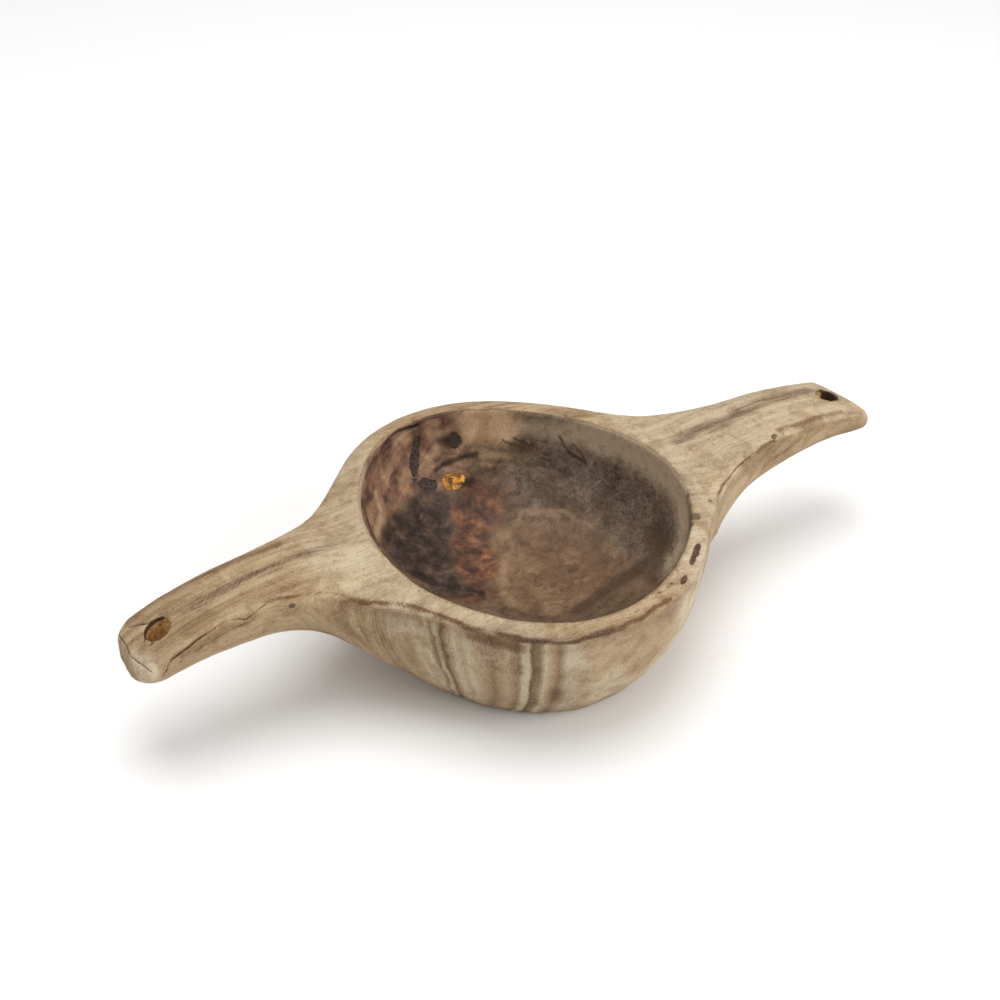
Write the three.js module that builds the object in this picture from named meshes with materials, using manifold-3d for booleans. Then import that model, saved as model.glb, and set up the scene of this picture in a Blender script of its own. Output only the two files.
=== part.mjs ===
// Carved wooden bowl with two handles, millimetres, +Z up.
// One block of wood gives the bowl and both handles. The natural inclusions of the timber (bark, resin
// and knots) are separate pieces, each sitting in its own pocket with a small clearance.
import * as THREE from "three";
import { LoftGeometry } from "three/addons/geometries/LoftGeometry.js";
import { mergeVertices } from "three/addons/utils/BufferGeometryUtils.js";
import Module from "manifold-3d";

// ---------------------------------------------------------------- driving dimensions
const halfLength = 250; // centre to either handle end
const rimHeight = 88.2; // rim above the table, midway between the handles
const edgeRound = 5; // softening of the long top edges
const endRound = 6; // softening of the handle ends
const clearance = 0.3; // around every inclusion
const datum = { x: 0, y: 5 }; // puts the origin under the middle of the overall box

// Outside of the bowl: a tilted oval that narrows towards the flat base.
const bowl = { x: -7, y: -5, halfX: 107.3, halfY: 122.9, turn: -2.9, reach: 1.41, power: 2.18 };

// Mouth of the hollow: a hand-cut oval, and the dish below it.
const mouth = { x: -6.5, y: -8.4, halfX: 94.7, halfY: 108.2, turn: 0, lobes: [0.022, -0.013, 0.012] };
const hollow = { depth: 70, power: 2.6, rings: 12, sides: 44 };

// The top face rises from the rim, then droops to each tip: rise * s^2 - droop * s^4.
const leftHandle = {
  rise: 27.4,
  droop: 51.2,
  rootHalfWidth: 26.2,
  midSwell: -0.2,
  tipHalfWidth: 25.8,
  rootDepth: 37.4,
  midDepthSwell: 3.9,
  tipDepth: 17.6,
  bend: -0.7,
};
const rightHandle = {
  rise: 32.5,
  droop: 40.2,
  rootHalfWidth: 31.5,
  midSwell: -2.6,
  tipHalfWidth: 23.7,
  rootDepth: 57.6,
  midDepthSwell: -5.9,
  tipDepth: 22,
  bend: 10.9,
};
const handleRoot = 120; // where a handle is taken to start
const handleRoundness = 2.6; // superellipse power of a handle's underside
const webBlend = 59; // softness of the web between bowl and handle
const fall = { x: -3.3 / 250, y: 1 / 100 }; // slight tilt of the whole top face
const rimFall = 0.27; // the rim slopes outwards by this much per mm
const handleCrown = 2.6; // the handles' top face falls this much at its edges
const bevel = { x: 248.8, y: 5, dirX: 0.8, dirY: 0.6 }; // slanting cut across the right tip

// Hanging holes, drilled straight down.
const holeRadius = 7;
const holes = [
  [-230.5, -0.5],
  [226, 8],
];

// Inclusions: centre, half sizes (along, across, deep), direction of "along", direction out of the wood.
const inclusions = [
  {
    name: "bark_sliver",
    at: [-24.2, 98.2, 65.5],
    size: [15, 3.2, 6.5],
    along: [0.27, 0.33, 0.9],
    out: [0.19, -0.93, 0.3],
    colour: 0x2e211b,
    roughness: 0.95,
  },
  {
    name: "bark_pocket",
    at: [-19.6, 89.6, 46],
    size: [7.4, 4, 5.5],
    along: [0.95, -0.2, -0.25],
    out: [0.11, -0.74, 0.66],
    colour: 0x352a1c,
    roughness: 0.9,
  },
  {
    name: "resin_lump",
    at: [-3.6, 87.8, 44.6],
    size: [7.2, 4.8, 5],
    along: [0.98, -0.02, 0.15],
    out: [-0.06, -0.72, 0.69],
    colour: 0xa8660f,
    roughness: 0.25,
  },
  {
    name: "wall_knot",
    at: [3.9, 99, 67.1],
    size: [4.6, 3.6, 6],
    along: [0, 0.23, 0.97],
    out: [-0.22, -0.95, 0.23],
    colour: 0x33231b,
    roughness: 0.7,
  },
  {
    name: "rim_knot_large",
    at: [76.4, -65.7, 88.4],
    size: [4, 3.6, 7],
    along: [0.8, -0.6, 0],
    out: [0.1, -0.1, 0.98],
    colour: 0x6d6246,
    roughness: 0.75,
  },
  {
    name: "rim_knot_small",
    at: [70, -70.6, 88.3],
    size: [2.6, 2.4, 5],
    along: [0.8, -0.6, 0],
    out: [0.1, -0.1, 0.98],
    colour: 0x5b4f38,
    roughness: 0.75,
  },
  {
    name: "rim_bark_strip",
    at: [60.5, -92.2, 85.6],
    size: [14, 2.6, 5],
    along: [0.73, 0.68, 0],
    out: [0.24, -0.3, 0.92],
    colour: 0x3d231a,
    roughness: 0.95,
  },
  {
    name: "rim_bark_patch",
    at: [41.6, -108.8, 84.3],
    size: [4.4, 2.4, 4],
    along: [0.85, 0.5, 0],
    out: [0.18, -0.35, 0.92],
    colour: 0x4a2c1f,
    roughness: 0.95,
  },
  {
    name: "right_pin_knot",
    at: [165.4, -20.9, 89.4],
    size: [2.4, 2.2, 4],
    along: [1, 0, 0],
    out: [0.1, -0.6, 0.79],
    colour: 0x6b5637,
    roughness: 0.75,
  },
  {
    name: "left_pin_knot",
    at: [-162.5, -26.2, 85.4],
    size: [2.2, 2, 4],
    along: [1, 0, 0],
    out: [-0.1, -0.95, 0.2],
    colour: 0x4a3a2a,
    roughness: 0.75,
  },
];

// ---------------------------------------------------------------- small maths
const clamp = (v, low, high) => Math.min(high, Math.max(low, v));
const mix = (a, b, t) => a + (b - a) * t;

function softMin(a, b, width) {
  const h = clamp(0.5 + (0.5 * (b - a)) / width, 0, 1);
  return mix(b, a, h) - width * h * (1 - h);
}

const softMax = (a, b, width) => -softMin(-a, -b, width);

function turned(x, y, oval) {
  const angle = THREE.MathUtils.degToRad(oval.turn);
  const dx = x - oval.x;
  const dy = y - oval.y;
  const u = (dx * Math.cos(angle) + dy * Math.sin(angle)) / oval.halfX;
  const v = (-dx * Math.sin(angle) + dy * Math.cos(angle)) / oval.halfY;
  return [Math.hypot(u, v), Math.atan2(v, u)];
}

function zeroBetween(inside, outside, value) {
  let a = inside;
  let b = outside;
  for (let i = 0; i < 40; i += 1) {
    const middle = (a + b) / 2;
    if (value(middle) < 0) a = middle;
    else b = middle;
  }
  return a;
}

// ---------------------------------------------------------------- the carved block as one function
const handleAt = (x) => (x < 0 ? leftHandle : rightHandle);

function mouthLobes(angle) {
  const [c3, s3, c4] = mouth.lobes;
  return 1 + c3 * Math.cos(3 * angle) + s3 * Math.sin(3 * angle) + c4 * Math.cos(4 * angle);
}

function spineY(x) {
  const s = clamp((Math.abs(x) - 80) / (halfLength - 80), 0, 2);
  return handleAt(x).bend * s * s;
}

// Height of the top face: saddle shape along the length, rim sloping outwards, handles crowned.
function topZ(x, y) {
  const { rise, droop } = handleAt(x);
  const s = Math.abs(x) / halfLength;
  const [radius, angle] = turned(x, y, mouth);
  const past = clamp((radius / mouthLobes(angle) - 1) * 104, -6, 26);
  const slope = past >= 6 ? past : (past + 6) ** 2 / 24;
  const t = clamp((150 - Math.abs(x)) / 80, 0, 1);
  const onBowl = t * t * (3 - 2 * t);
  const across = clamp(Math.abs(y - spineY(x)) / 28, 0, 1.6);
  const saddle = rise * s * s - droop * s ** 4 + fall.x * x + fall.y * y;
  return rimHeight + saddle - rimFall * slope * onBowl - handleCrown * across * across * (1 - onBowl);
}

function handleSize(x) {
  const h = handleAt(x);
  const s = clamp((Math.abs(x) - handleRoot) / (halfLength - handleRoot), 0, 1.2);
  const hump = 4 * s * (1 - s);
  return {
    halfWidth: mix(h.rootHalfWidth, h.tipHalfWidth, s) + h.midSwell * hump,
    depth: mix(h.rootDepth, h.tipDepth, s) + h.midDepthSwell * hump,
  };
}

// Negative inside the wood of the outer form, positive outside.
function outerForm(x, y, z) {
  const top = topZ(x, y);
  const below = clamp((top - z) / (rimHeight * bowl.reach), 0, 1.5);
  const belly = Math.sqrt(Math.max(0, 1 - below ** bowl.power));
  const bowlPart = (turned(x, y, bowl)[0] - belly) * bowl.halfX * 0.9;
  const { halfWidth, depth } = handleSize(x);
  const side = Math.abs(y - spineY(x)) / halfWidth;
  const under = clamp((top - z) / depth, 0, 5);
  const n = handleRoundness;
  const handlePart = ((side ** n + under ** n) ** (1 / n) - 1) * halfWidth * 0.9;
  let form = softMin(bowlPart, handlePart, webBlend);
  form = softMax(form, z - top, edgeRound);
  form = softMax(form, Math.abs(x) - halfLength, endRound);
  return softMax(form, (x - bevel.x) * bevel.dirX + (y - bevel.y) * bevel.dirY, 4);
}

// ---------------------------------------------------------------- sections for the lofts
const sectionTop = 10;
const sectionSide = 8;
const sectionBase = 8;

// Middle of the section at x before the web and the edge rounding are counted.
function middleAt(x) {
  const bevelY = bevel.y - ((x - bevel.x) * bevel.dirX) / bevel.dirY;
  const { halfWidth, depth } = handleSize(x);
  const nearY = spineY(x) - halfWidth;
  const farY = Math.min(spineY(x) + halfWidth, bevelY);
  const y = (nearY + farY) / 2;
  return { y, z: topZ(x, y) - depth * 0.4 };
}

// Where the rounded end of a handle finishes: sign is -1 for the left handle, 1 for the right.
function tipX(sign) {
  return zeroBetween(sign * (halfLength - 30), sign * (halfLength + 10), (x) => {
    const middle = middleAt(x);
    return outerForm(x, middle.y, middle.z);
  });
}

function stations() {
  const list = [];
  const ends = [0.3, 1, 2.4, 5, 9];
  ends.forEach((s) => list.push(tipX(-1) + s));
  for (let x = -230; x <= -150; x += 13) list.push(x);
  for (let x = -138; x <= 138; x += 12) list.push(x);
  for (let x = 150; x <= 206; x += 14) list.push(x);
  [215, 222, 228, 234].forEach((x) => list.push(x));
  [...ends].reverse().forEach((s) => list.push(tipX(1) - s));
  return list;
}

// Corners of the section in the plane at x, used to aim the rays that find its outline.
function sectionFrame(x) {
  const { y: midY, z: level } = middleAt(x);
  const near = zeroBetween(midY, midY - 160, (y) => outerForm(x, y, level));
  const far = zeroBetween(midY, midY + 160, (y) => outerForm(x, y, level));
  const y = (near + far) / 2;
  const high = topZ(x, y);
  const low = Math.max(0, zeroBetween(level, high - 200, (z) => outerForm(x, y, z)));
  return { y, z: (high + low) / 2, near, far, high, low };
}

function section(x) {
  const f = sectionFrame(x);
  const aims = [];
  for (let i = 0; i < sectionTop; i += 1) aims.push([mix(f.far, f.near, i / sectionTop), f.high]);
  for (let i = 0; i < sectionSide; i += 1) aims.push([f.near, mix(f.high, f.low, i / sectionSide)]);
  for (let i = 0; i < sectionBase; i += 1) aims.push([mix(f.near, f.far, i / sectionBase), f.low]);
  for (let i = 0; i < sectionSide; i += 1) aims.push([f.far, mix(f.low, f.high, i / sectionSide)]);
  return aims.map(([aimY, aimZ]) => {
    const dy = aimY - f.y;
    const dz = aimZ - f.z;
    const reach = zeroBetween(0, 3, (t) => outerForm(x, f.y + dy * t, f.z + dz * t));
    return new THREE.Vector3(x, f.y + dy * reach, f.z + dz * reach);
  });
}

function mouthRing(z, scale, count) {
  const ring = [];
  const turn = THREE.MathUtils.degToRad(mouth.turn);
  for (let i = 0; i < count; i += 1) {
    const angle = (i / count) * 2 * Math.PI;
    const r = scale * mouthLobes(angle);
    const u = mouth.halfX * r * Math.cos(angle);
    const v = mouth.halfY * r * Math.sin(angle);
    const x = mouth.x + u * Math.cos(turn) - v * Math.sin(turn);
    const y = mouth.y + u * Math.sin(turn) + v * Math.cos(turn);
    ring.push(new THREE.Vector3(x, y, z));
  }
  return ring;
}

function hollowRings() {
  const rings = [];
  for (let i = 0; i <= hollow.rings; i += 1) {
    const a = (i / hollow.rings) * (Math.PI / 2);
    const drop = Math.cos(a) ** (2 / hollow.power);
    const wide = Math.sin(a) ** (2 / hollow.power);
    rings.push(mouthRing(rimHeight - hollow.depth * drop, Math.max(wide, 0.06), hollow.sides));
  }
  rings.push(mouthRing(rimHeight + 30, 1, hollow.sides));
  return rings;
}

// ---------------------------------------------------------------- solids
const wasm = await Module();
wasm.setup();

function toSolid(geometry) {
  const bare = new THREE.BufferGeometry();
  bare.setAttribute("position", geometry.getAttribute("position"));
  bare.setIndex(geometry.getIndex());
  const welded = mergeVertices(bare, 1e-4);
  const kept = [];
  const index = welded.getIndex().array;
  for (let i = 0; i < index.length; i += 3) {
    const [a, b, c] = [index[i], index[i + 1], index[i + 2]];
    if (a !== b && b !== c && c !== a) kept.push(a, b, c);
  }
  const vertProperties = Float32Array.from(welded.getAttribute("position").array);
  return new wasm.Manifold(new wasm.Mesh({ numProp: 3, vertProperties, triVerts: Uint32Array.from(kept) }));
}

function toGeometry(solid) {
  const { numProp, vertProperties, triVerts } = solid.getMesh();
  const positions = [];
  for (let i = 0; i < vertProperties.length; i += numProp) {
    positions.push(vertProperties[i], vertProperties[i + 1], vertProperties[i + 2]);
  }
  const geometry = new THREE.BufferGeometry();
  geometry.setAttribute("position", new THREE.Float32BufferAttribute(positions, 3));
  geometry.setIndex(Array.from(triVerts));
  geometry.computeVertexNormals();
  return geometry;
}

function loft(rings) {
  return toSolid(new LoftGeometry(rings, { capStart: true, capEnd: true }));
}

function box(sizeX, sizeY, sizeZ, at) {
  return toSolid(new THREE.BoxGeometry(sizeX, sizeY, sizeZ).translate(...at));
}

function hole([x, y]) {
  const drill = new THREE.CylinderGeometry(holeRadius, holeRadius, 120, 28);
  return toSolid(drill.rotateX(Math.PI / 2).translate(x, y, 80));
}

// A rounded lump lying on the wood's surface, grown by the clearance for its pocket.
function lump({ at, size, along, out }, grow) {
  const z = new THREE.Vector3(...out).normalize();
  const x = new THREE.Vector3(...along);
  x.addScaledVector(z, -x.dot(z)).normalize();
  const y = new THREE.Vector3().crossVectors(z, x);
  const shape = new THREE.SphereGeometry(1, 14, 8);
  shape.rotateX(Math.PI / 2);
  shape.scale(size[0] + grow, size[1] + grow, size[2] + grow);
  shape.applyMatrix4(new THREE.Matrix4().makeBasis(x, y, z));
  return toSolid(shape.translate(...at));
}

const outside = loft(stations().map(section));
const table = box(800, 800, 100, [0, 0, -50]);
const dish = loft(hollowRings());
let whole = outside.subtract(table).subtract(dish);
holes.forEach((at) => {
  whole = whole.subtract(hole(at));
});

const group = new THREE.Group();
group.position.set(datum.x, datum.y, 0);

function addMesh(name, solid, colour, roughness) {
  const material = new THREE.MeshStandardMaterial({ color: colour, roughness, metalness: 0 });
  const mesh = new THREE.Mesh(toGeometry(solid), material);
  mesh.name = name;
  group.add(mesh);
}

let body = whole;
inclusions.forEach((piece) => {
  body = body.subtract(lump(piece, clearance));
});
addMesh("carved_body", body, 0xb49a74, 0.6);
inclusions.forEach((piece) => {
  addMesh(piece.name, whole.intersect(lump(piece, 0)), piece.colour, piece.roughness);
});

export default group;
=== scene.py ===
"""Carved wooden bowl with two handles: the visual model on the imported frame.

Lengths are millimetres in the part's frame (table plane at z = 0, handles along X) until a mesh is built.
"""

import math

import bmesh
import bpy
import numpy as np
import openvdb as vdb
from mathutils import Matrix, Vector


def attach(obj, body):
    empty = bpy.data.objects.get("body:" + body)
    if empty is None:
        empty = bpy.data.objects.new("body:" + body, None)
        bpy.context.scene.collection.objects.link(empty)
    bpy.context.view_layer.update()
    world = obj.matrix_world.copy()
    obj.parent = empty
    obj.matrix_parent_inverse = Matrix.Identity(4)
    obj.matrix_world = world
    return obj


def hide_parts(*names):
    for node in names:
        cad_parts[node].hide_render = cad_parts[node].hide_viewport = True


MM = 0.001
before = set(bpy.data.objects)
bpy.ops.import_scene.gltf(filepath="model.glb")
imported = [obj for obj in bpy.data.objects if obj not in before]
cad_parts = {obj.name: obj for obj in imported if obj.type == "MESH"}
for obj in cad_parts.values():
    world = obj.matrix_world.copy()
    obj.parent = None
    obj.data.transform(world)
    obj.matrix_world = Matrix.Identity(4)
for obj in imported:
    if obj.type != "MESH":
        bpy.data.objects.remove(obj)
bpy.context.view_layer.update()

# ------------------------------------------------------------------ the carved form
# The form of the CAD part, with its tips and hole mouths worked a little further.
HALF_LENGTH, RIM, DATUM_Y = 250.0, 88.2, 5.0
BOWL = dict(x=-7.0, y=-5.0, a=107.3, b=122.9, turn=-2.9, reach=1.41, power=2.18)
MOUTH = dict(x=-6.5, y=-8.4, a=94.7, b=108.2, turn=0.0)
LOBES = (0.022, -0.013, 0.012)
DEPTH, DISH_POWER = 70.0, 2.6
LEFT = dict(rise=27.4, droop=51.2, w0=26.2, wm=-0.2, w1=25.8, t0=37.4, tm=3.9, t1=17.6, bend=-0.7)
RIGHT = dict(rise=32.5, droop=40.2, w0=31.5, wm=-2.6, w1=23.7, t0=57.6, tm=-5.9, t1=22.0, bend=10.9)
# Centre, radius and wear at the mouth of each hanging hole.
LEFT_HOLE, RIGHT_HOLE = (-230.5, 4.5, 6.8, 1.0), (229.0, 13.4, 6.1, 0.3)


def soft_min(a, b, k):
    h = np.clip(0.5 + 0.5 * (b - a) / k, 0, 1)
    return b * (1 - h) + a * h - k * h * (1 - h)


def soft_max(a, b, k):
    return -soft_min(-a, -b, k)


def smooth(a, b, v):
    t = np.clip((v - a) / (b - a), 0, 1)
    return t * t * (3 - 2 * t)


def side(x, key):
    return np.where(x < 0, LEFT[key], RIGHT[key])


def oval(x, y, o):
    c, s = math.cos(math.radians(o["turn"])), math.sin(math.radians(o["turn"]))
    dx, dy = x - o["x"], y - DATUM_Y - o["y"]
    u, v = (dx * c + dy * s) / o["a"], (-dx * s + dy * c) / o["b"]
    return np.sqrt(u * u + v * v), np.arctan2(v, u)


def mouth(x, y):
    r, p = oval(x, y, MOUTH)
    c3, s3, c4 = LOBES
    return r / (1 + c3 * np.cos(3 * p) + s3 * np.sin(3 * p) + c4 * np.cos(4 * p))


def spine(x):
    s = np.clip((np.abs(x) - 80) / 170, 0, 2)
    return DATUM_Y + side(x, "bend") * s * s


def top_z(x, y):
    s = np.abs(x) / HALF_LENGTH
    past = np.clip((mouth(x, y) - 1) * 104, -6, 26)
    slope = np.where(past >= 6, past, np.where(past > -6, (past + 6) ** 2 / 24, 0))
    on_bowl = smooth(0, 1, (150 - np.abs(x)) / 80)
    across = np.clip(np.abs(y - spine(x)) / 28, 0, 1.6)
    saddle = side(x, "rise") * s**2 - side(x, "droop") * s**4 - 3.3 * x / 250 + (y - DATUM_Y) / 100
    return RIM + saddle - 0.27 * slope * on_bowl - 2.6 * across**2 * (1 - on_bowl)


def tips(x, y, z):
    """The saw cuts and knife cuts that end the two handles; far below 0 away from the tips."""
    right_end = (x - 246) * 0.93 + (y - DATUM_Y - 3) * 0.37
    right_under = 0.28 * (x - 234) - 0.96 * (z - 60.2)
    left_corner = (y - x) * 0.7 - 190
    left_under = -0.3 * x - 0.52 * y - 0.8 * z - 34.3
    right = np.maximum(right_end, np.where(x > 190, right_under, -400))
    left = np.maximum(left_corner, np.where(x < -190, left_under, -400))
    return np.maximum(right, left)


def outside(x, y, z):
    top = top_z(x, y)
    below = np.clip((top - z) / (RIM * BOWL["reach"]), 0, 1.5)
    belly = np.sqrt(np.clip(1 - below ** BOWL["power"], 0, None))
    bowl = (oval(x, y, BOWL)[0] - belly) * BOWL["a"] * 0.9
    s = np.clip((np.abs(x) - 120) / 130, 0, 1.2)
    half = side(x, "w0") * (1 - s) + side(x, "w1") * s + side(x, "wm") * 4 * s * (1 - s)
    deep = side(x, "t0") * (1 - s) + side(x, "t1") * s + side(x, "tm") * 4 * s * (1 - s)
    across, under = np.abs(y - spine(x)) / half, np.clip((top - z) / deep, 0, 5)
    handle = ((across**2.6 + under**2.6) ** (1 / 2.6) - 1) * half * 0.9
    form = soft_min(bowl, handle, 59.0)
    form = soft_max(form, z - top, 5)
    form = soft_max(form, np.abs(x) - HALF_LENGTH, 3.5)
    form = soft_max(form, tips(x, y, z), 3)
    return soft_max(form, -z, 2.5)


def dish(x, y, z):
    h = np.clip((RIM - z) / DEPTH, 0, None)
    return ((mouth(x, y) ** DISH_POWER + h**DISH_POWER) ** (1 / DISH_POWER) - 1) * 84


def carved(x, y, z):
    form = soft_max(outside(x, y, z), -dish(x, y, z), 2.6)
    for hx, hy, radius, worn in (LEFT_HOLE, RIGHT_HOLE):
        wear = worn * np.exp(-np.clip(top_z(x, y) - z, 0, 30) / 1.6)
        form = soft_max(form, radius + wear - np.hypot(x - hx, y - hy), 0.9)
    return form


def gradient(field, p, e=0.25):
    g = np.empty_like(p)
    for i in range(3):
        d = np.zeros(3)
        d[i] = e
        g[:, i] = (field(*(p + d).T) - field(*(p - d).T)) / (2 * e)
    return g


def snapped(p, rounds=4):
    """Points moved on to the carved surface, and the outward normals there."""
    for _ in range(rounds):
        g = gradient(carved, p)
        n2 = np.maximum((g * g).sum(1, keepdims=True), 0.05)
        p = p - np.clip(carved(*p.T)[:, None] * g / n2, -1.5, 1.5)
    g = gradient(carved, p, 0.5)
    return p, g / np.maximum(np.linalg.norm(g, axis=1, keepdims=True), 1e-6)


# ------------------------------------------------------------------ noise and distances
def noise(p, size, seed=0):
    """A smooth random field from -1 to 1, with lumps about `size` across (one length, or one per axis)."""
    q = p / np.asarray(size, float) + seed * 13.7
    cell = np.floor(q).astype(np.int64)
    f = q - cell
    f = f * f * (3 - 2 * f)
    total = np.zeros(len(p))
    for corner in range(8):
        bit = np.array([corner & 1, corner >> 1 & 1, corner >> 2 & 1])
        i, j, k = (cell + bit).T
        h = (i * 374761393 + j * 668265263 + k * 1274126177 + seed * 974711) & 0xFFFFFFFF
        h = ((h ^ (h >> 13)) * 1274126177) & 0xFFFFFFFF
        h = ((h ^ (h >> 15)) * 2246822519) & 0xFFFFFFFF
        weight = np.where(bit, f, 1 - f).prod(1)
        total += weight * ((h ^ (h >> 16)) / 2147483647.5 - 1)
    return total


def rough(p, size, seed=0, octaves=3):
    size = np.asarray(size, float)
    return sum(noise(p, size / 2**i, seed + i) / 2**i for i in range(octaves))


def path_distance(p, path, reach=25.0):
    """Distance from each point to a chain of straight pieces, and how far along it that is, 0 to 1.
    Points outside a box grown by `reach` around the chain count as far away."""
    path = np.array(path, float)
    legs = np.linalg.norm(np.diff(path, axis=0), axis=1)
    near = np.flatnonzero(((p > path.min(0) - reach) & (p < path.max(0) + reach)).all(1))
    q, best, where, gone = p[near], np.full(len(near), 1e3), np.zeros(len(near)), 0.0
    for a, b, leg in zip(path[:-1], path[1:], legs):
        t = np.clip((q - a) @ (b - a) / leg**2, 0, 1)
        d = np.linalg.norm(q - a - t[:, None] * (b - a), axis=1)
        where = np.where(d < best, (gone + t * leg) / legs.sum(), where)
        best, gone = np.minimum(d, best), gone + leg
    away, along = np.full(len(p), 1e3), np.zeros(len(p))
    away[near], along[near] = best, where
    return away, along


def laid(path, step=4.0):
    """A path cut into short pieces and laid on the carved surface."""
    path = np.array(path, float)
    parts = [path[:1]]
    for a, b in zip(path[:-1], path[1:]):
        count = max(1, round(float(np.linalg.norm(b - a)) / step))
        parts.append(a + (b - a) * np.arange(1, count + 1)[:, None] / count)
    return snapped(np.concatenate(parts), 6)[0]


def stroke(p, path, width, strength=1.0):
    return strength * np.exp(-((path_distance(p, laid(path, 10.0), 4 * width)[0] / width) ** 2))


def spot(p, at, radius, strength=1.0):
    d = np.linalg.norm((p - np.array(at, float)) / np.asarray(radius, float), axis=1)
    return strength * np.exp(-(d**2))


def patch(p, outline, soft):
    """1 inside an outline drawn in plan, 0 outside it, with an edge `soft` wide."""
    q, corners = p[:, :2], np.array(outline, float)
    best, inside = np.full(len(p), 1e9), np.zeros(len(p), bool)
    for a, b in zip(corners, np.roll(corners, -1, axis=0)):
        t = np.clip((q - a) @ (b - a) / ((b - a) @ (b - a)), 0, 1)
        best = np.minimum(best, np.linalg.norm(q - a - t[:, None] * (b - a), axis=1))
        crosses = (q[:, 1] < a[1]) != (q[:, 1] < b[1])
        rise = b[1] - a[1] if b[1] != a[1] else 1.0
        inside ^= crosses & (q[:, 0] < a[0] + (q[:, 1] - a[1]) * (b[0] - a[0]) / rise)
    return smooth(-soft, soft, np.where(inside, best, -best))


# ------------------------------------------------------------------ inclusions and cracks
# Centre, half sizes (along, across, deep), direction of "along", direction out of the wood, raggedness.
INCLUSIONS = {
    "bark_sliver": ((-24.2, 103.2, 65.5), (16.5, 3.6, 6.5), (0.27, 0.33, 0.9), (0.19, -0.93, 0.3), 1.9),
    "bark_pocket": ((-19.6, 94.6, 46), (7.4, 4, 5.5), (0.95, -0.2, -0.25), (0.11, -0.74, 0.66), 1.9),
    "resin_lump": ((-3.6, 92.8, 44.6), (7.6, 5.4, 5), (0.98, -0.02, 0.15), (-0.06, -0.72, 0.69), 1.8),
    "wall_knot": ((3.9, 104, 67.1), (4.4, 3.2, 6), (0, 0.23, 0.97), (-0.22, -0.95, 0.23), 1.8),
    "rim_knot_large": ((76.4, -60.7, 88.4), (4, 3.2, 7), (0.8, -0.6, 0), (0.1, -0.1, 0.98), 1.2),
    "rim_knot_small": ((70, -65.6, 88.3), (2.6, 2.4, 5), (0.8, -0.6, 0), (0.1, -0.1, 0.98), 0.6),
    "rim_bark_strip": ((60.5, -87.2, 85.6), (13, 2.0, 5), (0.73, 0.68, 0), (0.24, -0.3, 0.92), 1.0),
    "rim_bark_patch": ((41.6, -103.8, 84.3), (4.4, 1.5, 4), (0.78, 0.62, 0), (0.18, -0.35, 0.92), 0.9),
    "right_pin_knot": ((165.4, -15.9, 89.4), (2.1, 1.5, 4), (1, 0, 0), (0.1, -0.6, 0.79), 0.6),
    "left_pin_knot": ((-162.5, -21.2, 85.4), (1.9, 1.3, 4), (1, 0, 0), (-0.1, -0.95, 0.2), 0.6),
}
# Path, half width, depth.
CRACKS = (
    (((-239, -21, 65), (-233, -19.5, 74), (-226, -19, 77), (-214, -18, 81), (-205, -18, 84)), 0.36, 2.2),
    (((-207, -18, 84), (-198, -17, 86), (-189, -20, 85), (-176, -18, 89)), 0.3, 0.7),
    (((-229, -25, 70), (-214, -22, 78), (-198, -22, 82), (-184, -22, 84)), 0.3, 0.5),
    (((-234, 12, 78), (-238, 17, 75), (-244, 22, 71)), 0.4, 1.6),
    (((-235, 7.5, 77), (-239, 5, 75), (-241, 2, 75)), 0.5, 1.5),
    (((-234, 3, 77), (-237, -1, 76), (-239, -3, 75)), 0.45, 1.3),
    (((-247, 22, 67), (-248, 8, 68), (-249, 1, 67), (-247, -8, 69), (-244, -18, 69)), 0.4, 0.7),
    (((-51, 93, 85), (-43, 99, 85), (-34, 103.4, 84.5), (-21, 107, 84.5)), 1.5, 5.0),
    (
        ((166, -18, 87), (147, -22, 87), (129, -29, 86), (113, -38, 84), (102, -49, 82), (97, -54, 78)),
        0.32,
        0.7,
    ),
)

# Dark feathered strokes in the grain of the back wall: path, width, strength.
FEATHERS = (
    (((32, 91, 66), (38, 86, 63), (43, 81, 62), (48, 75, 59), (54, 67, 56)), 1.2, 1.0),
    (((38, 87, 68), (42, 83, 65), (48, 77, 63), (53, 70, 60)), 1.0, 0.9),
    (((43, 82, 66), (47, 77, 63), (51, 73, 62), (55, 69, 60)), 0.9, 0.9),
    (((46, 80, 60), (52, 72, 57)), 0.9, 0.7),
    (((61, 66, 75), (62, 63, 67), (64, 59, 63), (69, 52, 61)), 1.5, 1.0),
    (((65, 61, 74), (68, 55, 66), (69, 51, 62)), 1.1, 0.8),
    (((16, 91, 48), (22, 88, 48), (28, 87, 52)), 1.6, 0.7),
    (((22, 89, 53), (31, 84, 53), (39, 79, 52)), 1.0, 0.7),
    (((24, 85, 47), (34, 80, 48), (42, 74, 48)), 1.3, 0.6),
    (((10, 99, 62), (20, 96, 61), (30, 90, 60)), 1.2, 0.5),
    (((-8, 106, 60), (2, 103, 58), (12, 98, 56)), 1.4, 0.5),
)

LAID_CRACKS = [(laid(path), half, depth) for path, half, depth in CRACKS]


def lump_axes(piece):
    at, size, along, out = (np.array(v, float) for v in INCLUSIONS[piece][:4])
    z = out / np.linalg.norm(out)
    x = along - along @ z * z
    x /= np.linalg.norm(x)
    return at, size, np.stack([x, np.cross(z, x), z])


def lump(p, piece):
    """Signed distance, about, to an inclusion's ragged lump: below 0 inside it."""
    at, size, axes = lump_axes(piece)
    q = (p - at) @ axes.T / size
    r = np.linalg.norm(q, axis=1)
    ragged = INCLUSIONS[piece][4] * 0.7 * rough(p, 5.0, 9)
    near = (r - 1) * size[:2].min() + ragged
    far = np.maximum(np.linalg.norm(p - at, axis=1) - size.max(), 1.5)
    return np.where(r < 1.6, near, far)


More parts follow.
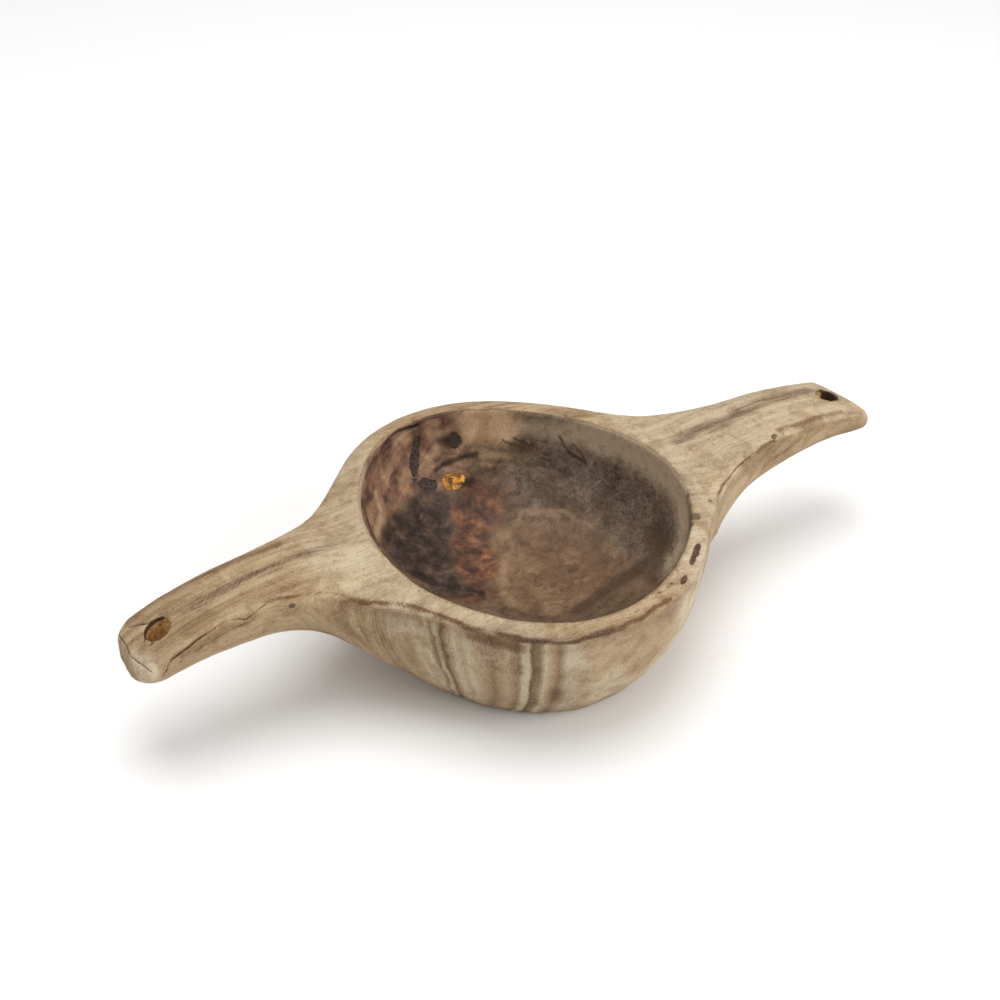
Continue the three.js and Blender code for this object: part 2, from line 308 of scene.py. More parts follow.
# ------------------------------------------------------------------ meshes
def grid_mesh(field, low, high, step):
    """The zero surface of field(x, y, z) between two corners, as points and four-sided faces."""
    axes = [np.arange(low[i], high[i] + step, step) for i in range(3)]
    x, y, z = np.meshgrid(*axes, indexing="ij")
    values = field(x, y, z).astype(np.float32)
    grid = vdb.FloatGrid(background=float(3 * step))
    grid.copyFromArray(np.clip(values, -3 * step, 3 * step))
    points, quads = grid.convertToQuads(isovalue=0.0)
    return points.astype(float) * step + np.array([a[0] for a in axes]), quads[:, ::-1]


def mesh_data(name, points, faces):
    mesh = bpy.data.meshes.new(name)
    mesh.from_pydata((points * MM).tolist(), [], faces.tolist())
    return mesh


def read_points(mesh):
    co = np.empty(len(mesh.vertices) * 3)
    mesh.vertices.foreach_get("co", co)
    return co.reshape(-1, 3) / MM


def write_points(mesh, points):
    mesh.vertices.foreach_set("co", (points * MM).ravel())
    mesh.update()


def refine(mesh, distance, reaches):
    """Halves the faces nearer than each reach in turn, so that fine features have enough points."""
    bm = bmesh.new()
    bm.from_mesh(mesh)
    for reach in reaches:
        bm.verts.index_update()
        near = distance(np.array([v.co for v in bm.verts]) / MM) < reach
        edges = [e for e in bm.edges if near[e.verts[0].index] and near[e.verts[1].index]]
        bmesh.ops.subdivide_edges(bm, edges=edges, cuts=1, use_grid_fill=True)
        bmesh.ops.triangulate(bm, faces=[f for f in bm.faces if len(f.verts) > 4])
    bm.to_mesh(mesh)
    bm.free()


def add_piece(name, mesh, body, node, material):
    mesh.shade_smooth()
    mesh.materials.append(material)
    ob = bpy.data.objects.new(name, mesh)
    bpy.context.scene.collection.objects.link(ob)
    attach(ob, body)
    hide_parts(node)


def store(mesh, name, values):
    layer = mesh.attributes.new(name, "FLOAT_VECTOR" if values.ndim == 2 else "FLOAT", "POINT")
    layer.data.foreach_set("vector" if values.ndim == 2 else "value", values.astype(np.float32).ravel())


# ------------------------------------------------------------------ relief of the carved block
def crooked_by(p):
    """A small random shift that makes cracks wander."""
    return np.stack([rough(p, 9, 60), rough(p, 9, 70), rough(p, 9, 80)], 1) * 0.5


def fine_distance(p):
    """Distance to the nearest crack, feather stroke, inclusion edge or hole mouth."""
    best = np.full(len(p), 1e9)
    for path, _, _ in LAID_CRACKS:
        best = np.minimum(best, path_distance(p, path)[0])
    for path, _, _ in FEATHERS:
        best = np.minimum(best, path_distance(p, laid(path, 10.0))[0] + 1.2)
    for piece in INCLUSIONS:
        best = np.minimum(best, np.abs(lump(p, piece)))
    for hx, hy, radius, _ in (LEFT_HOLE, RIGHT_HOLE):
        over = np.maximum(top_z(p[:, 0], p[:, 1]) - p[:, 2] - 3, 0)
        best = np.minimum(best, np.hypot(np.abs(np.hypot(p[:, 0] - hx, p[:, 1] - hy) - radius), over))
    return best


def on_dish(p):
    x, y, z = p.T
    return smooth(-1.5, 1.5, -dish(x, y, z) - outside(x, y, z))


def facets(p, n):
    """How far each point moves to lie on the flats that a carver's blade leaves."""
    count, cut = 150, 0.4
    pick = np.random.default_rng(7)
    outer = np.flatnonzero((on_dish(p) < 0.1) & (top_z(p[:, 0], p[:, 1]) - p[:, 2] > 4) & (p[:, 2] > 3))
    chosen = [int(pick.choice(outer))]
    apart = np.linalg.norm(p[outer] - p[chosen[0]], axis=1)
    while len(chosen) < count:
        chosen.append(int(outer[np.argmax(apart * pick.uniform(0.8, 1, len(outer)))]))
        apart = np.minimum(apart, np.linalg.norm(p[outer] - p[chosen[-1]], axis=1))
    move = np.full(len(p), 9.0)
    for i in chosen:
        gap = p - p[i]
        away = np.maximum(np.linalg.norm(gap, axis=1) - 12, 0)
        move = np.minimum(move, -cut - gap @ n[i] + 0.03 * away**2)
    return np.clip(move, -0.9, 0.6)


def relief(p, n):
    """How far each point of the smooth form moves along its normal, in mm."""
    inner = on_dish(p)
    below = smooth(2, 9, top_z(p[:, 0], p[:, 1]) - p[:, 2]) * (1 - inner)
    resting = smooth(0.5, 4, p[:, 2])
    wave = 0.45 * noise(p, 42, 1) + 0.22 * noise(p, 17, 2) + 0.10 * noise(p, 7, 3)
    move = (1 - 0.65 * inner) * wave + 0.75 * below * smooth(150, 105, np.abs(p[:, 0])) * facets(p, n)
    ticks = rough(p, (9, 1.6, 1.6), 4)
    move += 0.10 * (1 - inner) * ticks
    crooked = p + crooked_by(p)
    for path, half, depth in LAID_CRACKS:
        away, along = path_distance(crooked, path)
        wide = half * (0.55 + 1.1 * np.sin(np.pi * np.clip(along, 0.03, 0.97)))
        groove = np.exp(-((away / wide) ** 2) * 1.2)
        move -= depth * groove * (0.35 + 0.65 * np.sin(np.pi * np.clip(along, 0.06, 0.94)))
        move += 0.16 * np.exp(-(((away - 1.9) / 0.9) ** 2))
    for piece in INCLUSIONS:
        move -= 2.2 * smooth(0.1, -1.0, lump(p, piece))
    for hx, hy, radius, _ in (LEFT_HOLE, RIGHT_HOLE):
        edge = np.exp(-(((np.hypot(p[:, 0] - hx, p[:, 1] - hy) - radius - 1) / 2.0) ** 2))
        move -= 0.6 * edge * (0.3 + rough(p, 4.5, 6)) * smooth(9, 2, top_z(p[:, 0], p[:, 1]) - p[:, 2])
    return move * resting


# ------------------------------------------------------------------ colour of the carved block
# Outlines of the stains, in plan.
HEART = (
    (-57, 77), (-44, 84), (-34, 88), (-19, 90), (-11, 85), (-15, 74), (-24, 57), (-31, 37),
    (-28, 20), (-23, 13), (-30, 8), (-46, 15), (-57, 27), (-67, 40), (-73, 51), (-65, 67),
)
RUST = (
    (-8, 84), (3, 91), (14, 88), (26, 80), (29, 73), (20, 68), (13, 58), (2, 52), (-7, 42), (-12, 26),
    (-20, 12), (-36, 8), (-40, 18), (-32, 38), (-25, 56), (-15, 73),
)
ROSY_WALL = (
    (-92, 62), (-80, 86), (-62, 100), (-40, 110), (-10, 112), (6, 106), (8, 96), (-6, 90), (-26, 89),
    (-48, 82), (-62, 74), (-74, 50), (-84, 44),
)
SMOKE = (
    (30, 90), (44, 84), (62, 82), (86, 56), (96, 26), (98, -12), (92, -46), (74, -66), (60, -62), (66, -38),
    (68, -14), (68, 6), (60, 34), (46, 56), (30, 68), (18, 78), (16, 90),
)
PALE_FLOOR = (
    (13, 59), (24, 63), (40, 55), (53, 40), (62, 17), (63, -5), (58, -19), (39, -20), (14, -27), (-4, -21),
    (-17, -8), (-18, 11), (-9, 33), (1, 47),
)
BROWN_WALL = ((82, 29), (90, 6), (89, -17), (84, -29), (73, -36), (65, -30), (69, -9), (74, 10), (76, 26))

# The crease below the rim along the front wall, from the left handle to the right.
CREASE = (
    (-133, -32, 86), (-118, -43, 86), (-109, -51, 86), (-95, -69, 86.5), (-84, -85, 85.5), (-63, -106, 83),
    (-44, -116, 81), (-15, -122, 83), (10, -119, 83), (26, -115, 83),
)
BELOW_CREASE = tuple((x, y, z - 6) for x, y, z in CREASE)

# Soft lines of each stain: path, width, strength.
STROKES = {
    # In the dish.
    "pale": ((((2, 107, 78), (20, 100, 76), (32, 93, 76)), 14, 1.0),),
    "umber": (
        (((18, -31, 20), (36, -28, 22), (52, -27, 28), (62, -30, 33)), 6, 1.0),
        (((58, -46, 40), (72, -36, 42), (80, -20, 44)), 7, 0.6),
        (((20, -48, 30), (42, -52, 36)), 6, 0.5),
        (((50, -2, 25), (58, 18, 31)), 6, 0.45),
        (((8, 72, 32), (16, 62, 28), (30, 50, 26)), 5, 0.45),
    ),
    "glow": (
        (((-65, 71, 52), (-74, 57, 51), (-78, 44, 50)), 3.5, 0.9),
        (((10, 50, 24), (30, 58, 31), (48, 46, 34), (60, 22, 33)), 3.5, 0.5),
        (((-15, 0, 18), (-9, 14, 18), (0, 32, 19)), 6, 0.45),
        (((15, 97, 58), (24, 92, 57), (32, 87, 56), (42, 78, 55)), 2.2, 0.8),
        (((18, 92, 52), (27, 87, 51), (36, 81, 50)), 1.8, 0.7),
        (((44, 78, 66), (54, 70, 66), (64, 58, 66)), 2.0, 0.5),
    ),
    # A painted sheen high along the right inner wall.
    "painted_sheen": (
        (
            (
                (44, 83, 78), (60, 68, 79), (75, 46, 80), (86, 25, 82), (92, 2, 82), (92, -16, 82),
                (88, -32, 79), (83, -42, 69), (77, -49, 59), (71, -50, 50),
            ),
            12,
            0.62,
        ),
    ),
    "feather": FEATHERS,
    # On the rim, the handles and the outer wall.
    "mauve": (
        (((-222, 6, 81), (-208, 2.5, 85)), 3, 0.35),
        (((-206, 2.5, 86), (-191, 4, 89), (-176, 4, 91), (-162, 5, 93)), 4.2, 0.85),
        (((-158, 5, 93), (-131, 10, 93), (-108, 20, 91)), 5, 0.45),
        (
            ((112, 9, 89), (148, 9.5, 92), (164, 12.5, 92), (178, 16, 92), (206, 19.5, 89), (222, 20.5, 85)),
            4.6,
            0.9,
        ),
        (((-22, 107, 86), (-14, 107.6, 87), (2, 106.2, 87.8), (18, 102, 88), (38, 92.8, 88)), 1.3, 0.9),
        (((-88, 56, 80), (-82, 68, 70), (-72, 80, 64)), 3.5, 0.6),
        (((-66, -105, 83), (-44, -116, 81), (-17, -121, 83)), 1.5, 0.8),
        (((-70, 72, 82), (-59, 88, 84), (-40, 102, 82)), 4, 0.5),
        (((-79, 62, 72), (-74, 50, 50)), 3, 0.7),
    ),
    "brown": (
        (CREASE, 1.3, 1.1),
        (BELOW_CREASE, 5, 0.3),
        (((-84, -85, 80), (-66, -103, 77)), 6, 0.45),
        (((165, -18, 87), (147, -22, 87), (129, -29, 86), (113, -38, 84), (100, -50, 82)), 1.0, 0.8),
        (((163, -22, 80), (140, -30, 78), (118, -42, 76)), 4.0, 0.4),
        (((172, -13, 91), (184, -13, 90), (205, -9, 88), (228, -6, 83)), 2.6, 0.7),
        (((190, -14, 86), (210, -12, 83), (232, -9, 78)), 3.0, 0.45),
        (((160, -18, 71), (175, -16, 77), (186, -16, 81)), 3.5, 0.55),
        (((-244, 27, 74), (-212, 25, 83), (-198, 25, 87), (-179, 25, 90), (-150, 24, 92)), 4.5, 0.6),
        (((-176, -18, 89), (-170, -18, 90), (-157, -21, 90), (-145, -24, 90), (-133, -31, 88)), 1.2, 0.6),
        (((-226, -21, 75), (-205, -20, 82), (-184, -20, 85)), 5, 0.5),
        (((128, 10, 91), (164, 12.5, 92), (192, 18, 91), (218, 20, 86)), 6, 0.4),
        (((-12, -112, 40), (12, -112, 52)), 8, 0.35),
        (((4, -119, 66), (30, -111, 74)), 6, 0.3),
        (((26, -115, 82), (40, -107, 82), (56, -94, 83), (72, -78, 84)), 1.1, 0.35),
        (((60, -90, 85), (51, -98, 85), (41, -104, 85), (24, -110, 85), (4, -114, 86)), 0.9, 0.5),
    ),
    # Burnt or rotted dark.
    "burnt_and_shade": (
        (((-11, 100, 52), (-3, 101, 54), (5, 100, 55), (16, 96, 57)), 2.4, 0.75),
        (((-60, 22, 30), (-43, 13, 22), (-28, 9, 19)), 5, 0.6),
        (((33, -105.5, 85.5), (28, -107.5, 85.5)), 1.1, 0.9),
        (((24, -109, 85), (20, -110.5, 85)), 0.9, 0.8),
        (((50, -97, 86), (46, -100, 86)), 1.0, 0.8),
        (((3, -116, 86), (0, -117, 86)), 1.0, 0.6),
    ),
}

# Soft blots of each stain: centre, radius, strength.
SPOTS = {
    # In the dish.
    "rust": (((-8, 38, 21), 7, 0.5), ((-34, 9, 19), (9, 4, 6), 0.8)),
    "umber": (((33, 3, 21), (5, 4, 4), 0.9), ((28, 10, 20), (4, 3, 3), 0.6), ((72, 30, 44), 12, 0.4)),
    "glow": (
        ((-53, 63, 35), (4, 5, 5), 0.6),
        ((4, -10, 18), (14, 10, 9), 0.4),
        ((20, 96, 64), (14, 12, 9), 0.6),
    ),
    "ember": (
        ((-8, 40, 21), 4, 0.8),
        ((-13, 26, 19), 4, 0.7),
        ((-33, 10, 19), (9, 3, 4), 0.9),
        ((-36, 92, 49), (9, 4, 6), 0.6),
        ((73, 6, 39), (4, 4, 4), 0.4),
        ((-19, 1, 18), (4, 3, 3), 0.5),
    ),
    "speckle": (((20, 6, 19), 16, 0.35),),
    # On the rim, the handles and the outer wall.
    "mauve": (((91, -30, 89), (4, 9, 4), 0.55), ((86, -42, 89), 5, 0.5)),
    "brown": (((-170, -20, 86), (9, 5, 5), 0.5), ((-140, -14, 90), (16, 7, 6), 0.35)),
    "pale_patches_and_lit_top": (
        ((50, -102, 70), (24, 16, 18), 1.1),
        ((86, -50, 60), (14, 22, 16), 0.8),
        ((64, -90, 84), (20, 16, 6), 0.7),
        ((-247, -14, 68), (8, 16, 8), 1.1),
        ((36, -98, 34), (20, 16, 16), 0.9),
        ((-2, -104, 22), (26, 16, 14), 0.6),
        ((-37, -116, 62), (7, 14, 16), 0.9),
        ((-118, -8, 92), (22, 14, 8), 0.2),
        ((-111, -52, 70), (16, 14, 14), 0.45),
        ((-73, -96, 66), (16, 14, 14), 0.45),
        ((-13, -116, 41), (12, 14, 14), 0.8),
        ((67, -71, 88), (8, 7, 5), 0.8),
    ),
    # Burnt or rotted dark.
    "burnt_and_shade": (
        ((7, 90, 43), (7, 5, 4), 0.8),
        ((3.9, 104, 67), 7, 0.85),
        ((-6, 106, 69), 6, 0.55),
        ((12, 82, 39), (14, 8, 8), 0.42),
        ((22, 76, 38), 7, 0.3),
        ((5, 70, 30), 6, 0.5),
        ((1, 57, 24), (6, 8, 4), 0.5),
        ((-9, 46, 22), (3, 5, 3), 0.4),
        ((-25, 12, 19), 2.2, 0.9),
        ((-20, -8, 18), (4, 2.5, 3), 0.6),
        ((96, -51, 85), 2, 0.8),
    ),
}
DEEP_CRACK = 3.0


def marks(p, stain):
    """The soft lines and blots of one stain, added up."""
    lines = sum(stroke(p, *mark) for mark in STROKES.get(stain, ()))
    return lines + sum(spot(p, *mark) for mark in SPOTS.get(stain, ()))


def grain(p, inner):
    """Position along the fibres, across the growth rings and through them, in mm."""
    x, y, z = p.T
    over = y - spine(x)
    curl = ((82 - z) / 63).clip(0, 1.4) ** 2
    front = smooth(-30, -62, y) * (1 - inner) * smooth(-140, -112, x) * smooth(2, 6, top_z(x, y) - z)
    band = x - (5 + 15 * smooth(-40, -100, x)) * curl
    slant = z - 0.62 * x
    turned = smooth(-46, -26, x)
    across_front = band * (1 - turned) + slant * turned
    arcs = 1.25 * np.hypot(x - 18, (y - 8) * 0.92)
    across = over * (1 - front) + across_front * front
    along = x * (1 - front) + (z + y * 0.4) * front
    across = across * (1 - inner) + arcs * inner
    along = along * (1 - inner) + (30 * np.arctan2(y - 8, x - 18.01)) * inner
    return np.stack([along, across, z], 1), front, band


def dish_stains(p, w, q):
    """Stains of the oiled dish, with a painted sheen high on the right wall and a painted highlight along
    the left rim edge. The points w wander a little from p and the points q wander more.
    """
    x, y, z = p.T
    deep = RIM - z
    pale = marks(w, "pale")
    # A painted sheen high on the right wall, and a painted highlight along the inner edge of the left rim.
    right_wall_sheen = smooth(44, 5, deep) * smooth(30, 70, x - 0.35 * y)
    left_rim_highlight = smooth(7, 2, deep) * smooth(-56, -82, x)
    thicker = 0.75 + 0.25 * smooth(10, 70, x)
    out = {
        "heart": patch(q, HEART, 7),
        "rosy": patch(q, ROSY_WALL, 11),
        "floor": patch(q, PALE_FLOOR, 14),
        "pale": pale,
        "rust": patch(q, RUST, 11) + marks(w, "rust"),
        "smoke": patch(q, SMOKE, 15) * thicker * (1 - 0.9 * np.clip(pale, 0, 1)),
        "umber": marks(w, "umber") + 0.5 * patch(q, BROWN_WALL, 9) * smooth(76, 66, z),
        "glow": marks(w, "glow"),
        "painted_sheen": marks(w, "painted_sheen") + 0.42 * right_wall_sheen + 0.8 * left_rim_highlight,
        "ember": marks(w, "ember"),
        "speckle": smooth(50, 82, x) * smooth(14, 30, deep) + marks(w, "speckle"),
        "feather": marks(w, "feather"),
    }
    return {name: np.clip(values, 0, 1) for name, values in out.items()}


def rim_stains(p, w, q, inner):
    """Stains of the bare wood outside, on the rim and on the handles, with painted light on the top faces of
    the left neck and front and of the right side.
    """
    x, y, z = p.T
    # Painted light: near the top, the faces of the left neck and front and of the right side are made paler.
    lit_top_face = (1 - inner) * smooth(4.5, 2, top_z(x, y) - z)
    left_front = 0.22 * smooth(-160, -128, x) * smooth(-20, -70, x)
    left_neck = 0.2 * smooth(-180, -140, x) * smooth(0, -60, x)
    right_neck = 0.5 * smooth(65, 95, x)
    low_spot = spot(q, (-42, -106, 37), (7, 9, 13), 0.8)
    out = {
        "mauve": marks(w, "mauve") * (1.35 + 0.6 * noise(q, (12, 6, 6), 90)),
        "brown": (marks(w, "brown") + low_spot) * (1 - inner),
        "pale_patches_and_lit_top": ((left_front + left_neck + right_neck) * lit_top_face + marks(w, "pale_patches_and_lit_top")) * (1 - inner),
        "ticks": smooth(-120, -150, x),
    }
    return {name: np.clip(values, 0, 1) for name, values in out.items()}


def from_bore(x, y, hole):
    """Distance from the wall of a hanging hole, above 0 in the wood."""
    return np.hypot(x - hole[0], y - hole[1]) - hole[2]


def hole_marks_and_bore_shade(p, warp):
    """Darkened mouths of the two hanging holes and the outward wall of the right one, and painted shade
    deeper down both bores.
    """
    x, y, z = p.T
    deep = top_z(x, y) - z
    left, right = from_bore(x, y, LEFT_HOLE), from_bore(x, y, RIGHT_HOLE)
    left_side = smooth(-0.6, 0.6, ((y - LEFT_HOLE[1]) - 0.9 * (x - LEFT_HOLE[0])) / 7)
    outward = (0.4 * (y - RIGHT_HOLE[1]) + 1.2 * (x - RIGHT_HOLE[0])) / 7
    left_mouth = 1.2 * smooth(2.2, 0.6, left + 0.6 * warp[:, 0]) * smooth(3.2, 0.8, deep) * left_side
    # Painted shade: the left bore darkens below 12 mm deep.
    left_bore_shade = smooth(1.2, 0.4, left) * smooth(12, 16, deep)
    right_mouth = smooth(4.5, 0.6, right + 1.2 * warp[:, 1]) * smooth(0.1, 0.8, outward)
    # Painted shade: the outward wall of the right bore darkens further below 7 mm deep.
    right_bore_shade = smooth(1.2, 0.4, right) * smooth(7, 12, deep) * smooth(0.2, 0.9, outward)
    right_lip = 0.6 * smooth(2.0, 0.9, right) * smooth(1.5, 0.6, deep)
    return left_mouth + left_bore_shade + right_mouth + right_bore_shade + right_lip


def dark_marks_and_shade(p, w, warp):
    """Dark marks: burnt places, darkened hole mouths, cracks, the bare wood of the bores, and painted shade
    inside the deep slit, deep in the bores and in the gap around each inclusion.
    """
    x, y, z = p.T
    burnt_and_shade = hole_marks_and_bore_shade(p, warp) + marks(w, "burnt_and_shade")
    cracks = np.zeros(len(p))
    crooked = p + crooked_by(p)
    for path, half, depth in LAID_CRACKS:
        line = smooth(half + 0.45, 0.05, path_distance(crooked, path)[0])
        # A crack deeper than DEEP_CRACK, the slit below the back rim, takes the darkest colour: painted
        # shade for its depth.
        if depth > DEEP_CRACK:
            burnt_and_shade += line
        else:
            cracks = np.maximum(cracks, line * min(1.0, 0.55 + 0.3 * depth))
    # A painted shade ring in the gap where the wood meets each inclusion.
    for piece in INCLUSIONS:
        cracks = np.maximum(cracks, 0.45 * smooth(1.4, -0.3, lump(p, piece)))
    bore = np.minimum(from_bore(x, y, LEFT_HOLE), from_bore(x, y, RIGHT_HOLE))
    bored = smooth(1.4, 0.5, bore) * smooth(0.3, 2.0, top_z(x, y) - z)
    return {"burnt_and_shade": np.clip(burnt_and_shade, 0, 1), "cracks": cracks, "bored": bored}


def paint(p, inner):
    """The stains of the wood, with the painted sheen, light and shade among them, each from 0 to 1, by name.
    """
    warp = np.stack([rough(p, 16, 20), rough(p, 16, 30), rough(p, 16, 40)], 1)
    broad = np.stack([noise(p, 26, 50), noise(p, 26, 51), noise(p, 26, 52)], 1)
    q = p + 3.0 * warp + 5.0 * broad
    w = p + 1.5 * warp
    stains = {name: values * inner for name, values in dish_stains(p, w, q).items()}
    return stains | rim_stains(p, w, q, inner) | dark_marks_and_shade(p, w, warp)


# ------------------------------------------------------------------ materials
def srgb(red, green, blue):
    """A colour as it looks on a screen, 0 to 255, turned into the linear values that shader nodes hold."""
    parts = (c / 255 for c in (red, green, blue))
    return (*(c / 12.92 if c < 0.04045 else ((c + 0.055) / 1.055) ** 2.4 for c in parts), 1.0)


def grey(value):
    return (value, value, value, 1.0)


class Graph:
    """A material's node tree, built by calls that give back sockets."""

    def __init__(self, name):
        self.material = bpy.data.materials.new(name)
        self.material.use_nodes = True
        self.tree = self.material.node_tree
        self.shader = self.tree.nodes["Principled BSDF"]

    def put(self, socket, value):
        if isinstance(value, bpy.types.NodeSocket):
            self.tree.links.new(value, socket)
        else:
            socket.default_value = value

    def attribute(self, name, output="Fac"):
        node = self.tree.nodes.new("ShaderNodeAttribute")
        node.attribute_name = name
        return node.outputs[output]

    def calc(self, op, a, b):
        node = self.tree.nodes.new("ShaderNodeMath")
        node.operation = op
        self.put(node.inputs[0], a)
        self.put(node.inputs[1], b)
        return node.outputs[0]

    def plus(self, a, b):
        return self.calc("ADD", a, b)

    def minus(self, a, b):
        return self.calc("SUBTRACT", a, b)

    def times(self, a, b):
        return self.calc("MULTIPLY", a, b)

    def weighted(self, *parts):
        """A sum of sockets, each part being a socket and its weight."""
        total = self.times(*parts[0])
        for part in parts[1:]:
            total = self.plus(total, self.times(*part))
        return total

    def scaled(self, vector, factors):
        node = self.tree.nodes.new("ShaderNodeVectorMath")
        node.operation = "MULTIPLY"
        self.put(node.inputs[0], vector)
        self.put(node.inputs[1], factors)
        return node.outputs[0]

    def place(self):
        """The position on the piece, in mm."""
        return self.scaled(self.tree.nodes.new("ShaderNodeTexCoord").outputs["Object"], (1 / MM,) * 3)

    def tilted(self, vector, forward, sideways):
        """A coordinate that runs slantwise along the grain, for ticks across it."""
        parts = self.tree.nodes.new("ShaderNodeSeparateXYZ")
        self.put(parts.inputs[0], vector)
        along, across = parts.outputs[0], parts.outputs[1]
        both = self.tree.nodes.new("ShaderNodeCombineXYZ")
        self.put(both.inputs[0], self.weighted((along, forward), (across, sideways)))
        self.put(both.inputs[1], self.times(across, 0.06))
        return both.outputs[0]

    def noise(self, vector, scale=1.0, detail=3.0, rough=0.55, warp=0.0):
        node = self.tree.nodes.new("ShaderNodeTexNoise")
        for name, value in (("Vector", vector), ("Scale", scale), ("Detail", detail), ("Roughness", rough)):
            self.put(node.inputs[name], value)
        self.put(node.inputs["Distortion"], warp)
        return node.outputs["Fac"]

    def cells(self, vector, scale):
        node = self.tree.nodes.new("ShaderNodeTexVoronoi")
        self.put(node.inputs["Vector"], vector)
        self.put(node.inputs["Scale"], scale)
        return node.outputs["Distance"]

    def band(self, value, low, high):
        node = self.tree.nodes.new("ShaderNodeMapRange")
        node.interpolation_type = "SMOOTHSTEP"
        for name, number in (("Value", value), ("From Min", low), ("From Max", high)):
            self.put(node.inputs[name], number)
        return node.outputs["Result"]

    def ramp(self, value, *stops):
        """A colour read off a scale, each stop being a value and its colour."""
        node = self.tree.nodes.new("ShaderNodeValToRGB")
        table = node.color_ramp.elements
        while len(table) < len(stops):
            table.new(1.0)
        for entry, (at, _) in zip(table, stops):
            entry.position = at
        for entry, (_, colour) in zip(table, stops):
            entry.color = colour
        self.put(node.inputs[0], value)
        return node.outputs["Color"]

    def mix(self, fac, a, b, how="MIX"):
        node = self.tree.nodes.new("ShaderNodeMix")
        node.data_type, node.blend_type = "RGBA", how
        self.put(node.inputs[0], fac)
        self.put(node.inputs[6], a)
        self.put(node.inputs[7], b)
        return node.outputs[2]

    def tinted(self, fac, base, tint, how="MULTIPLY"):
        """The base colour, part of the way to its product with a tint."""
        return self.mix(fac, base, self.mix(1.0, base, tint, how))

    def edged(self, name, speck, amount, low, high):
        """A stain with a ragged edge: noise is added before the edge is drawn."""
        shift = self.times(self.minus(speck, 0.5), amount)
        return self.band(self.plus(self.attribute(name), shift), low, high)

    def stained(self, base, name, colour, speck, amount, low, high, strength=1.0):
        """The base colour with one stain laid over it."""
        fac = self.edged(name, speck, amount, low, high)
        return self.mix(self.times(fac, strength), base, colour)

    def bump(self, height, depth):
        node = self.tree.nodes.new("ShaderNodeBump")
        self.put(node.inputs["Height"], height)
        node.inputs["Distance"].default_value = depth * MM
        self.put(self.shader.inputs["Normal"], node.outputs["Normal"])


def front_bands(g, wobble):
    """Growth bands that run down the front wall, from the left neck (0) to the right (1)."""
    pale, tan, brown, dark = srgb(192, 177, 150), srgb(174, 151, 121), srgb(134, 109, 82), srgb(94, 71, 51)
    stops = (
        (0.00, srgb(150, 127, 98)), (0.095, tan), (0.112, pale), (0.13, tan), (0.15, pale),
        (0.163, brown), (0.178, pale), (0.196, dark), (0.216, tan), (0.235, pale), (0.26, tan),
        (0.275, pale), (0.31, tan), (0.355, brown), (0.41, tan), (0.455, brown), (0.474, pale),
        (0.497, pale), (0.508, dark), (0.54, brown), (0.562, pale), (0.585, tan), (0.62, brown),
        (0.66, pale), (0.74, tan),
    )
    return g.ramp(g.plus(g.attribute("band"), wobble), *stops)


def mauve_stain(g, streaks, threads, fibres):
    """Strength of the mauve streaks of the handles, combed by the fibres and ticked on the left one."""
    tick = g.band(g.noise(g.tilted(fibres, 0.62, -0.5), 1, 2, 0.5), 0.35, 0.62)
    tick = g.times(g.minus(tick, 0.5), g.times(g.attribute("ticks"), 0.42))
    stain = g.times(g.band(g.attribute("mauve"), 0.05, 0.9), g.plus(tick, 0.72))
    return g.times(stain, g.band(g.plus(streaks, threads), 1.35, 0.75))


def bare_wood(g, streaks, threads, lumps, mid, fine, fibres):
    """The dry outside, rim and handles."""
    dark, mean, light = srgb(134, 108, 79), srgb(158, 133, 101), srgb(180, 157, 124)
    bare = g.ramp(streaks, (0.3, dark), (0.44, mean), (0.6, light))
    front = front_bands(g, g.times(g.minus(lumps, 0.5), 0.04))
    bare = g.mix(g.attribute("front"), bare, g.mix(0.12, front, bare))
    # Pale patches, and painted light on the top faces of the left neck and front and of the right side.
    bare = g.stained(bare, "pale_patches_and_lit_top", srgb(202, 188, 162), mid, 0.5, 0.1, 0.85, 0.75)
    bare = g.tinted(g.band(g.attribute("brown"), 0.0, 1.1), bare, srgb(172, 138, 112))
    bare = g.tinted(g.times(g.band(lumps, 0.52, 0.36), 0.45), bare, srgb(196, 176, 146))
    bare = g.stained(bare, "brown", srgb(108, 80, 58), fine, 0.7, 0.3, 0.9, 0.75)
    bare = g.mix(mauve_stain(g, streaks, threads, fibres), bare, srgb(86, 62, 50))
    honey = g.ramp(fine, (0.32, srgb(138, 92, 46)), (0.5, srgb(198, 150, 88)), (0.68, srgb(226, 190, 130)))
    return g.mix(g.attribute("bored"), bare, honey)


